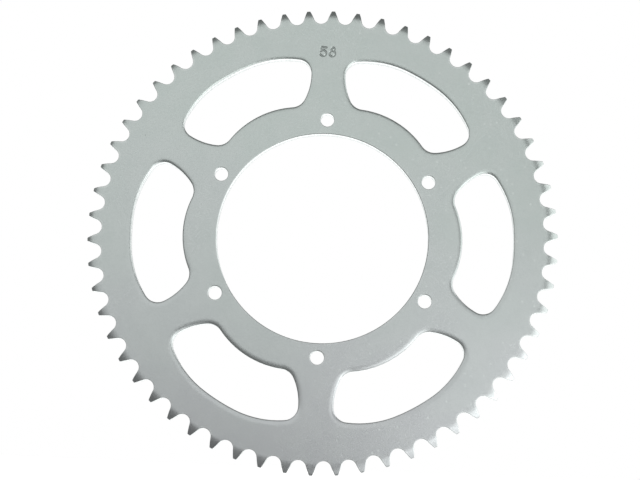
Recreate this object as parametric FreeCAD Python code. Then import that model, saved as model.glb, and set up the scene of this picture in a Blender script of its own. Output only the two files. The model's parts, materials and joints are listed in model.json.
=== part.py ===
import FreeCAD, Part
import math
import os

# Rear drive sprocket for a light motorcycle: one flat steel plate with 58 teeth for a
# half-inch-pitch roller chain, a wide centre hole, six bolt holes and six lightening windows.
# It is drawn flat, with its marked face up and the first bolt hole on +Y, and then stood upright:
# the axle runs along Y, the marked face looks to -Y and the first bolt hole is at the top.
# Lengths are in millimetres and angles in degrees.

Vector = FreeCAD.Vector

# Chain and teeth
CHAIN_PITCH = 12.7
ROLLER_DIAMETER = 7.77
TOOTH_COUNT = 58
SEAT_RADIUS = 3.95  # a little over half the roller
SEAT_ANGLE = 140 - 90 / TOOTH_COUNT
FLANK_RADIUS = 0.12 * ROLLER_DIAMETER * (TOOTH_COUNT + 2)
TIP_DIAMETER = 241.4
TIP_CORNER_RADIUS = 0.35
SIDE_RELIEF_RADIUS = CHAIN_PITCH
SIDE_RELIEF_DEPTH = 0.13 * CHAIN_PITCH
TOOTH_PHASE = -0.34  # how far the top tooth is turned from the first bolt hole

# Plate
THICKNESS = 5.8
BORE_DIAMETER = 108.6
BORE_CHAMFER = 0.3

# Bolt holes, the first at the top
BOLT_COUNT = 6
BOLT_CIRCLE_DIAMETER = 123.4
BOLT_HOLE_DIAMETER = 7.0
BOLT_CHAMFER = 0.25

# Windows, one between each two bolt holes. Each half is a chain of tangent arcs, from the middle
# of the outer edge round to the middle of the inner edge. A turn is where the outline's normal
# points at the end of an arc, from the window's own middle line.
WINDOW_COUNT = 6
WINDOW_PHASE = 0.3
WINDOW_OUTER_RADIUS = 98.2
SHOULDER_RADIUS = 50.0
OUTER_CORNER_RADIUS = 7.2
SIDE_RADIUS = 31.0
INNER_CORNER_RADIUS = 7.7
INNER_RISE_RADIUS = 45.6
OUTER_TURN = 5.3
SHOULDER_TURN = 35.4
OUTER_CORNER_TURN = 118.0
SIDE_TURN = 145.3
WINDOW_ROLL_RADIUS = 0.8  # the edge that the punch pulled down on the marked face

# Tooth count, stamped above the first bolt hole
MARK_CENTRE = Vector(-1.3, 98.2, 0)
MARK_SPACING = 4.8
MARK_HEIGHT = 4.8
DIGIT_LEAN = 5.0
MARK_STROKE = 0.8
MARK_DEPTH = 0.3
FIVE_WIDTH = 2.8
FIVE_BOWL_RADIUS = 1.6
FIVE_BOWL_START = -150.0
FIVE_BOWL_END = 150.0
EIGHT_LOWER_RADIUS = 1.5

TOOL_OVERRUN = 1.0  # how far a cutting shape runs past what it cuts

# Worked out from the above
HALF_THICKNESS = THICKNESS / 2
TOOTH_STEP = 360 / TOOTH_COUNT
PITCH_RADIUS = CHAIN_PITCH / (2 * math.sin(math.radians(TOOTH_STEP / 2)))
TIP_RADIUS = TIP_DIAMETER / 2
RELIEF_REACH = math.sqrt(SIDE_RELIEF_RADIUS**2 - (SIDE_RELIEF_RADIUS - SIDE_RELIEF_DEPTH) ** 2)
RELIEF_START_RADIUS = TIP_RADIUS - RELIEF_REACH
Z_AXIS = Vector(0, 0, 1)
CENTRE = Vector(0, 0, 0)


def polar(radius, angle, centre=CENTRE):
    """The point at a radius and angle from a centre, in the plate's plane."""
    turn = math.radians(angle)
    return centre + Vector(radius * math.cos(turn), radius * math.sin(turn), 0)


def angle_of(point, centre=CENTRE):
    """The direction from a centre to a point."""
    return math.degrees(math.atan2(point.y - centre.y, point.x - centre.x))


def arc(centre, radius, start, end):
    """The arc of a circle between two directions."""
    middle = (start + end) / 2
    ends = (polar(radius, start, centre), polar(radius, end, centre))
    return Part.Arc(ends[0], polar(radius, middle, centre), ends[1]).toShape()


def mirrored_chain(arcs):
    """A half outline given as (centre, radius, start, end), with its mirror image below the X axis."""
    upper = [arc(*values) for values in arcs]
    lower = [arc(Vector(c.x, -c.y, 0), r, -end, -start) for c, r, start, end in reversed(arcs)]
    return lower + upper


def turned(shapes, angle):
    """Copies of shapes, turned about the plate's centre."""
    copies = [shape.copy() for shape in shapes]
    for copy in copies:
        copy.rotate(CENTRE, Z_AXIS, angle)
    return copies


def solid_between(edges, low, high):
    """The upright solid over a closed outline."""
    wire = Part.Wire(Part.__sortEdges__(edges))
    face = Part.Face(wire)
    face.translate(Vector(0, 0, low))
    return face.extrude(Vector(0, 0, high - low))


def revolved(points):
    """The solid made by turning a closed profile of (radius, height) points about the Z axis."""
    outline = Part.makePolygon([Vector(radius, 0, height) for radius, height in points + points[:1]])
    return Part.Face(outline).revolve(CENTRE, Z_AXIS, 360)


def tooth_gap():
    """The upper half of one gap between teeth, which opens along +X: the roller's seat, the rounded
    flank of the tooth above it, the small corner radius and half of the tooth's tip."""
    seat_centre = polar(PITCH_RADIUS, 0)
    seat_end = 180 - SEAT_ANGLE / 2
    flank_centre = polar(SEAT_RADIUS + FLANK_RADIUS, seat_end, seat_centre)

    # The corner touches the flank and the tip circle from inside both.
    to_flank = FLANK_RADIUS - TIP_CORNER_RADIUS
    to_middle = TIP_RADIUS - TIP_CORNER_RADIUS
    between = flank_centre.Length
    cosine = (between**2 + to_middle**2 - to_flank**2) / (2 * between * to_middle)
    corner_centre = polar(to_middle, angle_of(flank_centre) - math.degrees(math.acos(cosine)))

    flank_end = angle_of(corner_centre, flank_centre)
    corner_end = angle_of(corner_centre)
    return [
        (seat_centre, SEAT_RADIUS, 180, seat_end),
        (flank_centre, FLANK_RADIUS, seat_end - 180, flank_end),
        (corner_centre, TIP_CORNER_RADIUS, flank_end, corner_end),
        (CENTRE, TIP_RADIUS, corner_end, TOOTH_STEP / 2),
    ]


def toothed_blank():
    """The plate with its teeth, which get thinner towards their tips on both sides."""
    gap = mirrored_chain(tooth_gap())
    first = 90 + TOOTH_PHASE + TOOTH_STEP / 2
    outline = []
    for index in range(TOOTH_COUNT):
        outline += turned(gap, first + index * TOOTH_STEP)
    blank = solid_between(outline, -HALF_THICKNESS, HALF_THICKNESS)

    # The relief arcs run on past the tips, so that nothing of them lies on the tip circle.
    rim = TIP_RADIUS + TOOL_OVERRUN
    reach = rim - RELIEF_START_RADIUS
    rim_height = HALF_THICKNESS - SIDE_RELIEF_RADIUS + math.sqrt(SIDE_RELIEF_RADIUS**2 - reach**2)
    half_reach = math.asin(reach / SIDE_RELIEF_RADIUS) / 2
    arc_radius = RELIEF_START_RADIUS + SIDE_RELIEF_RADIUS * math.sin(half_reach)
    arc_height = HALF_THICKNESS - SIDE_RELIEF_RADIUS * (1 - math.cos(half_reach))

    def side(sign):
        start = Vector(RELIEF_START_RADIUS, 0, sign * HALF_THICKNESS)
        middle = Vector(arc_radius, 0, sign * arc_height)
        return Part.Arc(start, middle, Vector(rim, 0, sign * rim_height)).toShape()

    inner = [Vector(0, 0, -HALF_THICKNESS), Vector(0, 0, HALF_THICKNESS)]
    edges = [
        Part.makeLine(inner[0], inner[1]),
        Part.makeLine(inner[1], Vector(RELIEF_START_RADIUS, 0, HALF_THICKNESS)),
        side(1),
        Part.makeLine(Vector(rim, 0, rim_height), Vector(rim, 0, -rim_height)),
        side(-1),
        Part.makeLine(Vector(RELIEF_START_RADIUS, 0, -HALF_THICKNESS), inner[0]),
    ]
    profile = Part.Wire(Part.__sortEdges__(edges))
    lens = Part.Face(profile).revolve(CENTRE, Z_AXIS, 360)
    return blank.common(lens)


def round_hole(radius, chamfer, centre=CENTRE):
    """What a round hole takes out, with a 45 degree chamfer at both faces."""
    end = HALF_THICKNESS + TOOL_OVERRUN
    mouth = radius + chamfer + TOOL_OVERRUN
    wall = HALF_THICKNESS - chamfer
    hole = revolved([(0, -end), (mouth, -end), (radius, -wall), (radius, wall), (mouth, end), (0, end)])
    hole.translate(centre)
    return hole


def window():
    """What one window takes out, with its middle line on +X."""
    shoulder = polar(WINDOW_OUTER_RADIUS - SHOULDER_RADIUS, OUTER_TURN)
    outer_corner = polar(SHOULDER_RADIUS - OUTER_CORNER_RADIUS, SHOULDER_TURN, shoulder)
    side = polar(OUTER_CORNER_RADIUS - SIDE_RADIUS, OUTER_CORNER_TURN, outer_corner)
    inner_corner = polar(SIDE_RADIUS - INNER_CORNER_RADIUS, SIDE_TURN, side)

    # The inner edge is one arc that bulges into the window, centred on the middle line.
    rise_turn = math.degrees(math.asin(inner_corner.y / (INNER_CORNER_RADIUS + INNER_RISE_RADIUS)))
    rise = polar(INNER_CORNER_RADIUS + INNER_RISE_RADIUS, 180 + rise_turn, inner_corner)
    half = [
        (CENTRE, WINDOW_OUTER_RADIUS, 0, OUTER_TURN),
        (shoulder, SHOULDER_RADIUS, OUTER_TURN, SHOULDER_TURN),
        (outer_corner, OUTER_CORNER_RADIUS, SHOULDER_TURN, OUTER_CORNER_TURN),
        (side, SIDE_RADIUS, OUTER_CORNER_TURN, SIDE_TURN),
        (inner_corner, INNER_CORNER_RADIUS, SIDE_TURN, 180 + rise_turn),
        (rise, INNER_RISE_RADIUS, rise_turn, 0),
    ]
    end = HALF_THICKNESS + TOOL_OVERRUN
    return solid_between(mirrored_chain(half), -end, end)


def window_mouths(plate):
    """The edges of the windows on the marked face."""
    low, high = BOLT_CIRCLE_DIAMETER / 2 + BOLT_HOLE_DIAMETER, WINDOW_OUTER_RADIUS + TOOL_OVERRUN
    found = []
    for edge in plate.Edges:
        box = edge.BoundBox
        middle = edge.valueAt((edge.FirstParameter + edge.LastParameter) / 2)
        on_face = min(box.ZMin, box.ZMax) > HALF_THICKNESS - 0.01
        if on_face and low < math.hypot(middle.x, middle.y) < high:
            found.append(edge)
    return found


def straight_stroke(start, end):
    """A stroke of a stamped digit, with round ends."""
    along = end - start
    box = Part.makeBox(along.Length, MARK_STROKE, MARK_DEPTH + TOOL_OVERRUN)
    box.translate(Vector(0, -MARK_STROKE / 2, 0))
    box.rotate(CENTRE, Z_AXIS, angle_of(along))
    box.translate(start)
    return [box] + [round_end(point) for point in (start, end)]


def round_end(point):
    return Part.makeCylinder(MARK_STROKE / 2, MARK_DEPTH + TOOL_OVERRUN, point, Z_AXIS)


def curved_stroke(centre, radius, start, end):
    """A stroke along an arc, anticlockwise from one direction to the other."""
    height = MARK_DEPTH + TOOL_OVERRUN
    outer = Part.makeCylinder(radius + MARK_STROKE / 2, height, CENTRE, Z_AXIS, end - start)
    ring = outer.cut(Part.makeCylinder(radius - MARK_STROKE / 2, height))
    ring.rotate(CENTRE, Z_AXIS, start)
    ring.translate(centre)
    return ring


def digit_five(centre):
    top = MARK_HEIGHT / 2
    bowl = centre + Vector(0, FIVE_BOWL_RADIUS - top, 0)
    bowl_ends = [polar(FIVE_BOWL_RADIUS, turn, bowl) for turn in (FIVE_BOWL_START, FIVE_BOWL_END)]
    corner = Vector(bowl_ends[1].x, centre.y + top, centre.z)
    strokes = straight_stroke(corner, corner + Vector(FIVE_WIDTH, 0, 0))
    strokes += straight_stroke(bowl_ends[1], corner)
    strokes.append(curved_stroke(bowl, FIVE_BOWL_RADIUS, FIVE_BOWL_START, FIVE_BOWL_END))
    strokes.append(round_end(bowl_ends[0]))
    return strokes


def digit_eight(centre):
    upper_radius = MARK_HEIGHT / 2 - EIGHT_LOWER_RADIUS
    lower = centre + Vector(0, EIGHT_LOWER_RADIUS - MARK_HEIGHT / 2, 0)
    upper = centre + Vector(0, MARK_HEIGHT / 2 - upper_radius, 0)
    return [
        curved_stroke(lower, EIGHT_LOWER_RADIUS, 0, 360),
        curved_stroke(upper, upper_radius, 0, 360),
    ]


def tooth_count_mark():
    """What the stamped number takes out of the marked face. Each digit leans a little to the right."""
    floor = MARK_CENTRE + Vector(0, 0, HALF_THICKNESS - MARK_DEPTH)
    strokes = []
    for digit, side in ((digit_five, -0.5), (digit_eight, 0.5)):
        centre = floor + Vector(side * MARK_SPACING, 0, 0)
        for stroke in digit(centre):
            stroke.rotate(centre, Z_AXIS, -DIGIT_LEAN)
            strokes.append(stroke)
    return strokes[0].fuse(strokes[1:])


def sprocket_plate():
    plate = toothed_blank()
    plate = plate.cut(round_hole(BORE_DIAMETER / 2, BORE_CHAMFER))
    for index in range(BOLT_COUNT):
        centre = polar(BOLT_CIRCLE_DIAMETER / 2, 90 + index * 360 / BOLT_COUNT)
        plate = plate.cut(round_hole(BOLT_HOLE_DIAMETER / 2, BOLT_CHAMFER, centre))
    for index in range(WINDOW_COUNT):
        plate = plate.cut(turned([window()], WINDOW_PHASE + index * 360 / WINDOW_COUNT)[0])
    plate = plate.makeFillet(WINDOW_ROLL_RADIUS, window_mouths(plate))
    plate = plate.cut(tooth_count_mark())
    plate.rotate(CENTRE, Vector(1, 0, 0), 90)
    return plate


os.makedirs("parts", exist_ok=True)
sprocket_plate().exportStep("parts/sprocket_plate.step")
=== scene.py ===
import json
import math

import bpy
import numpy as np
from mathutils import Matrix, Vector, kdtree
from mathutils.geometry import delaunay_2d_cdt


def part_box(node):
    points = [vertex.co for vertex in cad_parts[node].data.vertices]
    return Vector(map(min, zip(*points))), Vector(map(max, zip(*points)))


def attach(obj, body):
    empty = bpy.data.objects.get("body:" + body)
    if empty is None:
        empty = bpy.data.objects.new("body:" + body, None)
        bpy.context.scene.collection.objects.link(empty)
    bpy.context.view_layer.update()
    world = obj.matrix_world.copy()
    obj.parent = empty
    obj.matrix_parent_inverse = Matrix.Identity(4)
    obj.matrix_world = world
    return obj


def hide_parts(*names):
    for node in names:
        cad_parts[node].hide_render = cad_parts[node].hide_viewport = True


# A rear drive sprocket: one blanked, tumbled and zinc-plated steel plate, standing on a pale floor.
#
# The plate is drawn in its own plane, as complex numbers in millimetres: the real part to the right
# and the imaginary part up, as the marked face is seen. Height is counted out of that face. Angles are
# in degrees. PlateMesh.build() turns drawn points into the frame's metres.

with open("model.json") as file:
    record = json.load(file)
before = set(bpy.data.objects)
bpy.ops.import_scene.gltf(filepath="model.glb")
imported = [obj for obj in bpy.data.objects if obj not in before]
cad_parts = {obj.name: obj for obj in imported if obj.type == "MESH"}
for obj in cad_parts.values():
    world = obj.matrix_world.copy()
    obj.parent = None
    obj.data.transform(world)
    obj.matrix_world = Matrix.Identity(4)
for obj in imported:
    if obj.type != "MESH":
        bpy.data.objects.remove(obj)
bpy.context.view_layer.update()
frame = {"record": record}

MM = 0.001
NODE = "sprocket_plate"
MOUNTS = {mount["name"]: mount["dims"] for mount in frame["record"]["mounts"]}

# Sizes that the frame gives
HALF_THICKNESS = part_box(NODE)[1].y / MM
TIP_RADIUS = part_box(NODE)[1].z / MM
BORE_RADIUS = MOUNTS["bore"]["r_mm"]
BOLT_COUNT = MOUNTS["bolt_circle"]["count"]
BOLT_CIRCLE_RADIUS = MOUNTS["bolt_circle"]["pcd_mm"] / 2
BOLT_HOLE_RADIUS = MOUNTS["bolt_circle"]["hole_r_mm"]

# Teeth, for a roller chain
TOOTH_COUNT = 58
CHAIN_PITCH = 12.7
ROLLER_DIAMETER = 7.77
SEAT_RADIUS = 3.95
SEAT_ANGLE = 140 - 90 / TOOTH_COUNT
FLANK_RADIUS = 0.12 * ROLLER_DIAMETER * (TOOTH_COUNT + 2)
TIP_CORNER_RADIUS = 0.35
TOOTH_PHASE = -0.34
TOOTH_STEP = 360 / TOOTH_COUNT
PITCH_RADIUS = CHAIN_PITCH / (2 * math.sin(math.radians(TOOTH_STEP / 2)))
RELIEF_RADIUS = CHAIN_PITCH
RELIEF_DEPTH = 0.13 * CHAIN_PITCH
RELIEF_START = TIP_RADIUS - math.sqrt(RELIEF_RADIUS**2 - (RELIEF_RADIUS - RELIEF_DEPTH) ** 2)

# Windows: half of one is a chain of tangent arcs from the middle of its outer edge to the middle of
# its inner edge, and each turn is where the outline's normal points at the end of an arc.
WINDOW_COUNT = 6
WINDOW_PHASE = 0.3
WINDOW_OUTER_RADIUS = 98.2
SHOULDER_RADIUS = 50.0
OUTER_CORNER_RADIUS = 7.2
SIDE_RADIUS = 31.0
INNER_CORNER_RADIUS = 7.7
INNER_RISE_RADIUS = 45.6
OUTER_TURN = 5.3
SHOULDER_TURN = 35.4
OUTER_CORNER_TURN = 118.0
SIDE_TURN = 145.3

# Edges. A punched edge is pulled down on the marked face, then comes the sheared wall, which is
# smooth at first and breaks out rough and a little wider towards the hub face.
WINDOW_ROLL = (2.8, 0.8)  # how far it reaches into the face, and how deep it goes
BOLT_ROLL = (0.45, 0.3)
TUMBLED_EDGE = (0.22, 0.2)
BORE_CHAMFER = 0.3
BREAK_OUT = 0.12
FLAT_MARGIN = 0.35  # a ring of flat face beside each edge, so that the face shades flat
TOOTH_MARGIN = 0.1  # the same on the teeth, within their corner radius

# The stamped tooth count
MARK_CENTRE = complex(-1.3, 98.2)
MARK_SPACING = 4.8
MARK_HEIGHT = 4.8
DIGIT_LEAN = 5.0
MARK_STROKE = 0.8
MARK_DEPTH = 0.3
FIVE_WIDTH = 2.8
FIVE_BOWL_RADIUS = 1.6
FIVE_BOWL_TURN = 150.0
EIGHT_LOWER_RADIUS = 1.5
MARK_GRID = 0.16


# ---------------------------------------------------------------- outlines


def polar(radius, angle):
    return radius * complex(math.cos(math.radians(angle)), math.sin(math.radians(angle)))


def heading(point):
    return math.degrees(math.atan2(point.imag, point.real))


def with_mirror(half):
    """A half outline and its mirror image across the real axis. An arc is (centre, radius, start, end,
    steel), where steel is 1 if the steel lies outside the circle and -1 if it lies inside."""
    lower = [(complex(c).conjugate(), r, -end, -start, steel) for c, r, start, end, steel in reversed(half)]
    return lower + half


def tooth_gap():
    """One gap between teeth, opening along the real axis, with half a tooth at each side."""
    seat_end = 180 - SEAT_ANGLE / 2
    flank = PITCH_RADIUS + polar(SEAT_RADIUS + FLANK_RADIUS, seat_end)
    to_flank = FLANK_RADIUS - TIP_CORNER_RADIUS
    to_middle = TIP_RADIUS - TIP_CORNER_RADIUS
    cosine = (abs(flank) ** 2 + to_middle**2 - to_flank**2) / (2 * abs(flank) * to_middle)
    corner = polar(to_middle, heading(flank) - math.degrees(math.acos(cosine)))
    flank_end = heading(corner - flank)
    return with_mirror([
        (PITCH_RADIUS, SEAT_RADIUS, 180, seat_end, 1),
        (flank, FLANK_RADIUS, seat_end - 180, flank_end, -1),
        (corner, TIP_CORNER_RADIUS, flank_end, heading(corner), -1),
        (0, TIP_RADIUS, heading(corner), TOOTH_STEP / 2, -1),
    ])


def window():
    """One window, with its middle line on the real axis."""
    shoulder = polar(WINDOW_OUTER_RADIUS - SHOULDER_RADIUS, OUTER_TURN)
    outer_corner = shoulder + polar(SHOULDER_RADIUS - OUTER_CORNER_RADIUS, SHOULDER_TURN)
    side = outer_corner + polar(OUTER_CORNER_RADIUS - SIDE_RADIUS, OUTER_CORNER_TURN)
    inner_corner = side + polar(SIDE_RADIUS - INNER_CORNER_RADIUS, SIDE_TURN)
    reach = INNER_CORNER_RADIUS + INNER_RISE_RADIUS
    rise_turn = math.degrees(math.asin(inner_corner.imag / reach))
    rise = inner_corner - polar(reach, rise_turn)
    return with_mirror([
        (0, WINDOW_OUTER_RADIUS, 0, OUTER_TURN, 1),
        (shoulder, SHOULDER_RADIUS, OUTER_TURN, SHOULDER_TURN, 1),
        (outer_corner, OUTER_CORNER_RADIUS, SHOULDER_TURN, OUTER_CORNER_TURN, 1),
        (side, SIDE_RADIUS, OUTER_CORNER_TURN, SIDE_TURN, 1),
        (inner_corner, INNER_CORNER_RADIUS, SIDE_TURN, 180 + rise_turn, 1),
        (rise, INNER_RISE_RADIUS, rise_turn, 0, -1),
    ])


def walked(arcs, spacing, finest_turn=12):
    """Points along a closed chain of arcs, and at each the direction into the steel."""
    points, inward = [], []
    for centre, radius, start, end, steel in arcs:
        sweep = abs(end - start)
        count = math.ceil(max(math.radians(sweep) * radius / spacing, sweep / finest_turn))
        turns = np.exp(1j * np.radians(np.linspace(start, end, count, endpoint=False)))
        points.append(centre + radius * turns)
        inward.append(steel * turns)
    return np.concatenate(points), np.concatenate(inward)


def turned(loop, angle):
    return tuple(part * polar(1, angle) for part in loop)


def hole(loop):
    """A loop the other way round, so that the steel is on its left, as it is along the teeth."""
    return tuple(part[::-1] for part in loop)


def circle(radius, centre, spacing):
    points, inward = walked([(centre, radius, 0, 360, 1)], spacing)
    return hole((points, inward))


# ---------------------------------------------------------------- heights


def half_thickness(radius):
    """The plate's half thickness, which falls off towards the tooth tips along an arc."""
    past = np.clip(np.asarray(radius) - RELIEF_START, 0, None)
    return HALF_THICKNESS - (RELIEF_RADIUS - np.sqrt(RELIEF_RADIUS**2 - past**2))


def from_line(points, start, end):
    along = end - start
    share = np.clip(((points - start) * along.conjugate()).real / abs(along) ** 2, 0, 1)
    return np.abs(points - (start + share * along))


def from_arc(points, centre, radius, half_turn=180):
    """The distance to an arc that reaches half_turn to each side of the real axis."""
    away = points - centre
    turn = np.clip(np.degrees(np.angle(away)), -half_turn, half_turn)
    return np.abs(away - radius * np.exp(1j * np.radians(turn)))


def from_five(points):
    half = MARK_HEIGHT / 2
    bowl = 1j * (FIVE_BOWL_RADIUS - half)
    bowl_top = bowl + polar(FIVE_BOWL_RADIUS, FIVE_BOWL_TURN)
    corner = complex(bowl_top.real, half)
    return np.minimum.reduce([
        from_line(points, corner, corner + FIVE_WIDTH),
        from_line(points, bowl_top, corner),
        from_arc(points, bowl, FIVE_BOWL_RADIUS, FIVE_BOWL_TURN),
    ])


def from_eight(points):
    half = MARK_HEIGHT / 2
    upper_radius = half - EIGHT_LOWER_RADIUS
    lower = from_arc(points, 1j * (EIGHT_LOWER_RADIUS - half), EIGHT_LOWER_RADIUS)
    return np.minimum(lower, from_arc(points, 1j * (half - upper_radius), upper_radius))


def from_mark(points):
    """The distance to the nearest stroke of the stamped number, 58, whose digits lean to the right."""
    upright = polar(1, DIGIT_LEAN)
    five = (points - MARK_CENTRE + MARK_SPACING / 2) * upright
    eight = (points - MARK_CENTRE - MARK_SPACING / 2) * upright
    return np.minimum(from_five(five), from_eight(eight))


def mark_depth(points):
    """A stamped stroke: a flat floor with soft sides, and a faint lip of pushed-up steel round it."""
    out = from_mark(points) / (MARK_STROKE / 2)
    side = np.clip((1.35 - out) / 0.9, 0, 1)
    lip = np.exp(-(((out - 1.75) / 0.35) ** 2))
    return MARK_DEPTH * (side * side * (3 - 2 * side) - 0.12 * lip)


# ---------------------------------------------------------------- the plate's mesh


class PlateMesh:
    """Gathers vertices and faces. Each vertex also keeps how far it is from an edge, how much of it is
    sheared wall, and how much of it is the floor of a stamped stroke."""

    def __init__(self):
        self.points, self.heights = [], []
        self.traits = {"from_edge": [], "wall": [], "stamped": []}
        self.count = 0
        self.faces = []

    def add(self, points, heights, from_edge, wall, stamped=0.0):
        first = self.count
        self.points.append(points)
        self.heights.append(np.broadcast_to(heights, points.shape))
        for kept, values in zip(self.traits.values(), (from_edge, wall, stamped)):
            kept.append(np.broadcast_to(values, points.shape))
        self.count += len(points)
        return np.arange(first, self.count)

    def join(self, upper, lower):
        """A band of faces between two rows round a loop."""
        upper_next, lower_next = np.roll(upper, -1), np.roll(lower, -1)
        self.faces += np.stack([upper, lower, lower_next, upper_next], axis=1).tolist()

    def build(self, name):
        points = np.concatenate(self.points)
        heights = np.concatenate(self.heights)
        mesh = bpy.data.meshes.new(name)
        mesh.from_pydata(np.stack([points.real, -heights, points.imag], axis=1) * MM, [], self.faces)
        for label, values in self.traits.items():
            attribute = mesh.attributes.new(label, "FLOAT", "POINT")
            attribute.data.foreach_set("value", np.concatenate(values).astype(np.float32))
        mesh.validate()
        mesh.shade_smooth()
        mesh.set_sharp_from_angle(angle=math.radians(32))
        made = bpy.data.objects.new(name, mesh)
        bpy.context.scene.collection.objects.link(made)
        return made


def rolled(width, depth, steps, margin=FLAT_MARGIN):
    """A quarter of an ellipse, level where it leaves the face and upright where it meets the wall, as
    (inset, depth) pairs."""
    turns = np.radians(np.linspace(0, 90, steps + 1))
    return [(width + margin, 0.0)] + [(width * (1 - math.sin(t)), depth * (1 - math.cos(t))) for t in turns]


def edge_rows(plate, loop, face_side, wall_side, hub_side):
    """Adds the rows of one edge, from the marked face round to the hub face, and returns its two border
    rows, each with its points' directions into the steel. face_side and hub_side are (inset, depth)
    pairs, and wall_side (inset, share of the wall) pairs."""
    outline, inward = loop

    def row(inset, level, wall):
        points = outline + inward * inset
        limit = half_thickness(np.abs(points))
        return plate.add(points, level(limit), inset, wall)

    top, bottom = face_side[-1][1], hub_side[0][1]
    rows = [row(inset, lambda limit, d=depth: limit - d, depth / max(top, MM)) for inset, depth in face_side]
    for inset, share in wall_side:
        rows.append(row(inset, lambda limit, s=share: (limit - top) * (1 - s) - (limit - bottom) * s, 1))
    for inset, depth in hub_side:
        rows.append(row(inset, lambda limit, d=depth: d - limit, depth / max(bottom, MM)))
    for upper, lower in zip(rows, rows[1:]):
        plate.join(upper, lower)
    return (rows[0], inward), (rows[-1], inward)


class Borders:
    """The border rows of one face, and how deep in the steel a point lies from the nearest of them."""

    def __init__(self, plate, rows):
        self.rows = [row for row, inward in rows]
        self.vertices = np.concatenate(self.rows)
        self.points = np.concatenate(plate.points)[self.vertices]
        self.inward = np.concatenate([inward for row, inward in rows])
        self.tree = kdtree.KDTree(len(self.points))
        for index, point in enumerate(self.points):
            self.tree.insert((point.real, point.imag, 0), index)
        self.tree.balance()

    def depth(self, points):
        nearest = [self.tree.find((p.real, p.imag, 0))[1] for p in points]
        return ((points - self.points[nearest]) * self.inward[nearest].conjugate()).real


def free_points(borders, marked):
    """Points inside the face, clear of its borders: rings along the teeth's relief, a loose grid over
    the rest, and on the marked face a fine grid under the stamped number."""
    rings = []
    for radius in [RELIEF_START - 1.2, RELIEF_START - 0.5, *np.arange(RELIEF_START, TIP_RADIUS - 0.4, 0.65)]:
        turns = np.arange(0, 360, math.degrees(0.8 / radius))
        rings.append(radius * np.exp(1j * np.radians(turns)))
    across = np.arange(-RELIEF_START, RELIEF_START, 4.0)
    grid = (across[:, None] + 1j * across[None, :]).ravel()
    away = grid - MARK_CENTRE
    half_width, half_height = MARK_SPACING / 2 + 3.2, MARK_HEIGHT / 2 + 1.6
    beside = (np.abs(away.real) > half_width + 1) | (np.abs(away.imag) > half_height + 1)
    loose = grid[beside & (np.abs(grid) < RELIEF_START - 2.5)]
    kept = np.concatenate(rings + [loose])
    kept = kept[borders.depth(kept) > 0.3]
    if marked:
        u = np.arange(-half_width, half_width, MARK_GRID)
        v = np.arange(-half_height, half_height, MARK_GRID)
        kept = np.concatenate([kept, (MARK_CENTRE + u[:, None] + 1j * v[None, :]).ravel()])
    return kept


def fill_face(plate, rows, side):
    """Fills the flat face between its border rows. side is 1 for the marked face, -1 for the hub face."""
    borders = Borders(plate, rows)
    free = free_points(borders, side > 0)
    stamped = mark_depth(free) if side > 0 else np.zeros(len(free))
    height = half_thickness(np.abs(free)) - stamped
    added = plate.add(free, side * height, borders.depth(free), 0, np.clip(stamped / MARK_DEPTH, 0, 1))
    edges = []
    for row in borders.rows:
        first = len(edges)
        edges += [(first + k, first + (k + 1) % len(row)) for k in range(len(row))]
    points = np.concatenate([borders.points, free])
    vertices = np.concatenate([borders.vertices, added])
    found = delaunay_2d_cdt([Vector((p.real, p.imag)) for p in points], edges, [], 1, 1e-6)
    origin = np.array([original[0] for original in found[3]])
    triangles = origin[np.array(found[2])]

    # A triangle with a free corner is in the steel. One between three border points may span a hole.
    free_corner = (triangles >= len(borders.points)).any(axis=1)
    in_steel = borders.depth(points[triangles].mean(axis=1)) > 0
    triangles = vertices[triangles[free_corner | in_steel]]
    plate.faces += triangles[:, ::side].tolist()


def sprocket():
    plate = PlateMesh()
    gap = walked(tooth_gap(), 0.7)
    gaps = [turned(gap, 90 + TOOTH_PHASE + TOOTH_STEP * (index + 0.5)) for index in range(TOOTH_COUNT)]
    outline = tuple(np.concatenate(parts) for parts in zip(*gaps))
    tumbled = rolled(*TUMBLED_EDGE, 3, TOOTH_MARGIN)
    edges = [edge_rows(plate, outline, tumbled, [(0.0, share) for share in (0.33, 0.66)], tumbled[::-1])]

    punched = [(0.0, 0.2), (0.0, 0.42), (BREAK_OUT * 0.35, 0.5), (BREAK_OUT * 0.75, 0.75)]
    burr = [(BREAK_OUT, 0.08), (BREAK_OUT + 0.08, 0.0), (BREAK_OUT + 0.08 + FLAT_MARGIN, 0.0)]
    for index in range(WINDOW_COUNT):
        loop = hole(turned(walked(window(), 1.0, 8), WINDOW_PHASE + 360 / WINDOW_COUNT * index))
        edges.append(edge_rows(plate, loop, rolled(*WINDOW_ROLL, 9), punched, burr))
    for index in range(BOLT_COUNT):
        loop = circle(BOLT_HOLE_RADIUS, polar(BOLT_CIRCLE_RADIUS, 90 + 360 / BOLT_COUNT * index), 0.6)
        edges.append(edge_rows(plate, loop, rolled(*BOLT_ROLL, 4), punched, burr))

    chamfer = [(BORE_CHAMFER + FLAT_MARGIN, 0.0), (BORE_CHAMFER, 0.0), (0.0, BORE_CHAMFER)]
    edges.append(edge_rows(plate, circle(BORE_RADIUS, 0, 1.0), chamfer, [(0.0, 0.5)], chamfer[::-1]))

    fill_face(plate, [first for first, last in edges], 1)
    fill_face(plate, [last for first, last in edges], -1)
    return plate.build("zinc_plated_sprocket")


# ---------------------------------------------------------------- material nodes


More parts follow.
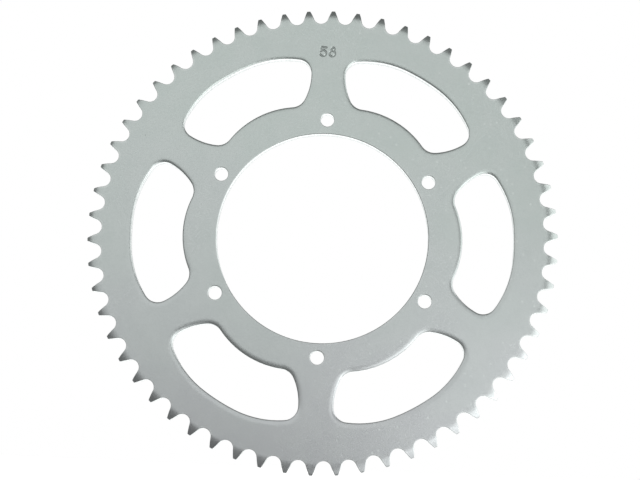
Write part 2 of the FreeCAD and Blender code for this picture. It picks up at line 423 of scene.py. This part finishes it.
class Nodes:
    """Short ways to add shader nodes. An input is a number, a colour or another node's output."""

    def __init__(self, tree):
        self.tree = tree
        tree.nodes.clear()

    def add(self, kind, settings=(), inputs=(), output=0):
        made = self.tree.nodes.new("ShaderNode" + kind)
        for name, value in dict(settings).items():
            setattr(made, name, value)
        for key, value in dict(inputs).items():
            if isinstance(value, bpy.types.NodeSocket):
                self.tree.links.new(value, made.inputs[key])
            else:
                made.inputs[key].default_value = value
        return made.outputs[output]

    def maths(self, operation, *values):
        return self.add("Math", {"operation": operation}, dict(enumerate(values)))

    def vector(self, operation, *values, output=0):
        return self.add("VectorMath", {"operation": operation}, dict(enumerate(values)), output)

    def noise(self, place, scale, detail=2.0, rough=0.5):
        inputs = {"Vector": place, "Scale": scale, "Detail": detail, "Roughness": rough}
        return self.add("TexNoise", {}, inputs)

    def ramp(self, value, low, high, start=0.0, end=1.0):
        """A smooth step from start, at low and below, to end, at high and above."""
        settings = {"interpolation_type": "SMOOTHSTEP"}
        return self.add("MapRange", settings, {0: value, 1: low, 2: high, 3: start, 4: end})

    def blend(self, share, first, second, how="MIX"):
        settings = {"data_type": "RGBA", "blend_type": how}
        return self.add("Mix", settings, {0: share, 6: first, 7: second}, 2)

    def attribute(self, name):
        return self.add("Attribute", {"attribute_name": name}, {}, 2)

    def finish(self, kind, shader):
        self.tree.links.new(shader, self.tree.nodes.new("ShaderNodeOutput" + kind).inputs[0])


def zinc_plating():
    """Satin zinc over tumbled steel: a fine pebbled grain, faint clouds from green-grey to plain grey, with
    the top painted a little lighter as painted light, little dimples painted lighter as painted glints that
    are stronger towards the lit +X side, dark pits, edges painted lighter as a painted highlight, stamped
    strokes painted dark as painted shade, and sheared walls with upright drag lines that turn dark and
    coarse where the steel broke away."""
    material = bpy.data.materials.new("satin_zinc")
    material.use_nodes = True
    n = Nodes(material.node_tree)
    place = n.add("TexCoord", output=3)
    wall = n.attribute("wall")
    from_edge = n.attribute("from_edge")

    clouds = n.noise(place, 11.0, 2.0)
    mottle = n.noise(place, 90.0, 3.0, 0.6)
    pebbles = n.noise(place, 700.0, 2.0, 0.6)
    grain = n.noise(place, 2200.0, 2.0, 0.6)

    # The plating is more green towards the top and plain grey lower down, and the top is painted a little
    # lighter: painted light falling off towards the bottom.
    across, thick, up = (n.add("SeparateXYZ", {}, {0: place}, axis) for axis in range(3))
    green_tint_and_lit_top = n.ramp(n.maths("ADD", up, n.ramp(clouds, 0.3, 0.7, -0.04, 0.04)), -0.10, 0.06)
    tint = n.blend(green_tint_and_lit_top, (0.505, 0.525, 0.535, 1), (0.500, 0.557, 0.535, 1))
    tint = n.blend(n.ramp(mottle, 0.3, 0.7, 0.0, 0.25), tint, (0.57, 0.605, 0.595, 1))
    tint = n.blend(n.ramp(grain, 0.35, 0.7, 0.0, 0.2), tint, (0.42, 0.46, 0.45, 1))

    # Dimples: a shallow dimple in the cells that a random value picks, and in a few of those a dark pit. The
    # dimples are painted lighter as a painted glint, more strongly towards +X, the side the light comes
    # from.
    cells = {"Vector": place, "Scale": 330.0}
    dimple = n.ramp(n.add("TexVoronoi", {"feature": "F1"}, cells), 0.05, 0.32, 1.0, 0.0)
    choice = n.add("SeparateColor", {}, {0: n.add("TexVoronoi", {"feature": "F1"}, cells, 1)})
    dents_and_glints = n.maths("MULTIPLY", dimple, n.ramp(choice, 0.6, 1.0))
    dents_and_glints = n.maths("MULTIPLY", dents_and_glints, n.ramp(across, -0.03, 0.05, 0.25, 1.0))
    pits = n.maths("MULTIPLY", n.ramp(dimple, 0.75, 1.0), n.ramp(choice, 0.985, 0.99))
    # Painted glint: the dimples are painted lighter, more so towards +X.
    tint = n.blend(n.maths("MULTIPLY", dents_and_glints, 0.45), tint, (0.70, 0.75, 0.73, 1))
    tint = n.blend(n.maths("MULTIPLY", pits, 0.7), tint, (0.16, 0.18, 0.18, 1))

    # Painted highlight: the edges are painted lighter, in blotches, and also made a little less rough.
    polished_and_lit_edges = n.maths("MULTIPLY", n.ramp(from_edge, 0.05, 0.9, 1.0, 0.0), n.ramp(mottle, 0.35, 0.6))
    polished_and_lit_edges = n.maths("MULTIPLY", polished_and_lit_edges, n.maths("SUBTRACT", 1.0, wall))
    tint = n.blend(n.maths("MULTIPLY", polished_and_lit_edges, 0.4), tint, (0.74, 0.77, 0.76, 1))

    # The stamped strokes are painted darker than the face: painted shade in the recesses.
    tint = n.blend(n.maths("MULTIPLY", n.attribute("stamped"), 0.5), tint, (0.20, 0.22, 0.21, 1))

    # The walls: drag lines run through the plate's thickness, and the break is dark and coarse.
    drag = n.noise(n.vector("MULTIPLY", place, (1.0, 0.04, 1.0)), 1300.0, 3.0, 0.6)
    broken = n.maths("MULTIPLY", wall, n.ramp(thick, 0.0, 0.0012))
    wall_tint = n.blend(n.ramp(drag, 0.3, 0.7), (0.60, 0.64, 0.63, 1), (0.84, 0.87, 0.86, 1))
    wall_tint = n.blend(n.maths("MULTIPLY", broken, 0.4), wall_tint, (0.42, 0.45, 0.45, 1))
    tint = n.blend(n.ramp(wall, 0.5, 1.0), tint, wall_tint)

    rough = n.ramp(grain, 0.3, 0.7, 0.27, 0.37)
    rough = n.maths("ADD", rough, n.ramp(clouds, 0.3, 0.7, -0.02, 0.02))
    rough = n.maths("ADD", rough, n.maths("MULTIPLY", broken, 0.12))
    rough = n.maths("SUBTRACT", rough, n.maths("MULTIPLY", polished_and_lit_edges, 0.06))

    fine = n.maths("ADD", n.maths("MULTIPLY", pebbles, 0.3), n.maths("MULTIPLY", grain, 0.25))
    fine = n.maths("SUBTRACT", fine, n.maths("MULTIPLY", dents_and_glints, 2.6))
    fine = n.maths("SUBTRACT", fine, n.maths("MULTIPLY", pits, 1.5))
    fine = n.maths("ADD", fine, n.maths("MULTIPLY", n.maths("MULTIPLY", wall, drag), 2.0))
    bump = n.add("Bump", {}, {"Strength": 0.5, "Distance": 0.00003, "Height": fine})

    look = {"Base Color": tint, "Roughness": rough, "Normal": bump, "Metallic": 1.0}
    n.finish("Material", n.add("BsdfPrincipled", {}, look))
    return material


# ---------------------------------------------------------------- studio

FLOOR_LEVEL = -TIP_RADIUS * MM
FLOOR_HALF_WIDTH = 3.0
CAMERA_PLACE = (0.00976, -0.74126, -0.1168)
CAMERA_YAW = 0.844
CAMERA_PITCH = 8.88
CAMERA_ROLL = 2.519
CAMERA_LENS = 82.14

# Light levels, with 1 as the camera's white. Directions in the studio are in degrees to the right of
# straight ahead of the marked face, and degrees up.
FLOOR_GLOW = 0.95
ROOM = 0.2
PAPER = 1.5
PAPER_UP = -30
PAPER_EDGE = 0.2  # the cosine, from the paper's brightest direction, where its light has faded out


def camera():
    data = bpy.data.cameras.new("camera")
    data.lens = CAMERA_LENS
    data.sensor_width = 36.0
    made = bpy.data.objects.new("camera", data)
    bpy.context.scene.collection.objects.link(made)
    yaw = Matrix.Rotation(math.radians(CAMERA_YAW), 4, "Z")
    pitch = Matrix.Rotation(math.radians(90 + CAMERA_PITCH), 4, "X")
    roll = Matrix.Rotation(math.radians(CAMERA_ROLL), 4, "Z")
    made.matrix_world = Matrix.Translation(CAMERA_PLACE) @ yaw @ pitch @ roll
    bpy.context.scene.camera = made


def floor():
    """A wide pale floor. Most of its brightness is its own, so that it looks as white as the room. The
    plate mirrors the lights below it, and is lit by them, as if it weren't there."""
    half = FLOOR_HALF_WIDTH
    corners = [(-half, -half, 0), (half, -half, 0), (half, half, 0), (-half, half, 0)]
    mesh = bpy.data.meshes.new("floor")
    mesh.from_pydata([Vector(c) + Vector((0, 0, FLOOR_LEVEL)) for c in corners], [], [(0, 1, 2, 3)])
    made = bpy.data.objects.new("floor", mesh)
    bpy.context.scene.collection.objects.link(made)
    made.visible_glossy = False
    made.visible_shadow = False
    material = bpy.data.materials.new("pale_floor")
    material.use_nodes = True
    n = Nodes(material.node_tree)
    pale = {"Base Color": (0.86, 0.86, 0.86, 1), "Roughness": 0.9, "Emission Color": (1, 1, 1, 1)}
    n.finish("Material", n.add("BsdfPrincipled", {}, {**pale, "Emission Strength": FLOOR_GLOW}))
    mesh.materials.append(material)


def direction(right, up):
    right, up = math.radians(right), math.radians(up)
    return Vector((math.sin(right) * math.cos(up), -math.cos(right) * math.cos(up), math.sin(up)))


def panel(name, right, up, distance, size, radiance):
    """A flat soft light aimed at the plate's middle, seen only by what it shines on."""
    data = bpy.data.lights.new(name, "AREA")
    data.shape = "RECTANGLE"
    data.size, data.size_y = size
    data.energy = radiance * math.pi * data.size * data.size_y
    made = bpy.data.objects.new(name, data)
    bpy.context.scene.collection.objects.link(made)
    towards = direction(right, up)
    turn = towards.to_track_quat("Z", "Y").to_matrix().to_4x4()
    made.matrix_world = Matrix.Translation(towards * distance) @ turn
    made.visible_camera = False


def room():
    """A white room to the camera. For light it is a dim one, with lit paper behind the plate."""
    world = bpy.data.worlds.new("studio")
    bpy.context.scene.world = world
    world.use_nodes = True
    n = Nodes(world.node_tree)
    facing = n.vector("DOT_PRODUCT", n.add("TexCoord"), direction(180, PAPER_UP), output=1)
    level = n.ramp(facing, PAPER_EDGE, 1.0, ROOM, PAPER)
    glow = n.add("Background", {}, {"Color": (1, 1, 1, 1), "Strength": level})
    white = n.add("Background", {}, {"Color": (1, 1, 1, 1), "Strength": 1.0})
    n.finish("World", n.add("MixShader", {}, {0: n.add("LightPath"), 1: glow, 2: white}))
    bpy.context.scene.view_settings.view_transform = "Standard"


camera()
floor()
room()
panel("softbox", right=-15, up=20, distance=0.9, size=(1.4, 0.9), radiance=0.78)
panel("side_card", right=25, up=-15, distance=0.8, size=(0.5, 0.4), radiance=0.9)
panel("low_card", right=40, up=-35, distance=0.9, size=(0.9, 0.7), radiance=1.1)
panel("side_window", right=75, up=0, distance=1.0, size=(1.4, 1.4), radiance=1.3)
plate = sprocket()
plate.data.materials.append(zinc_plating())
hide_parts(NODE)
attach(plate, "root")
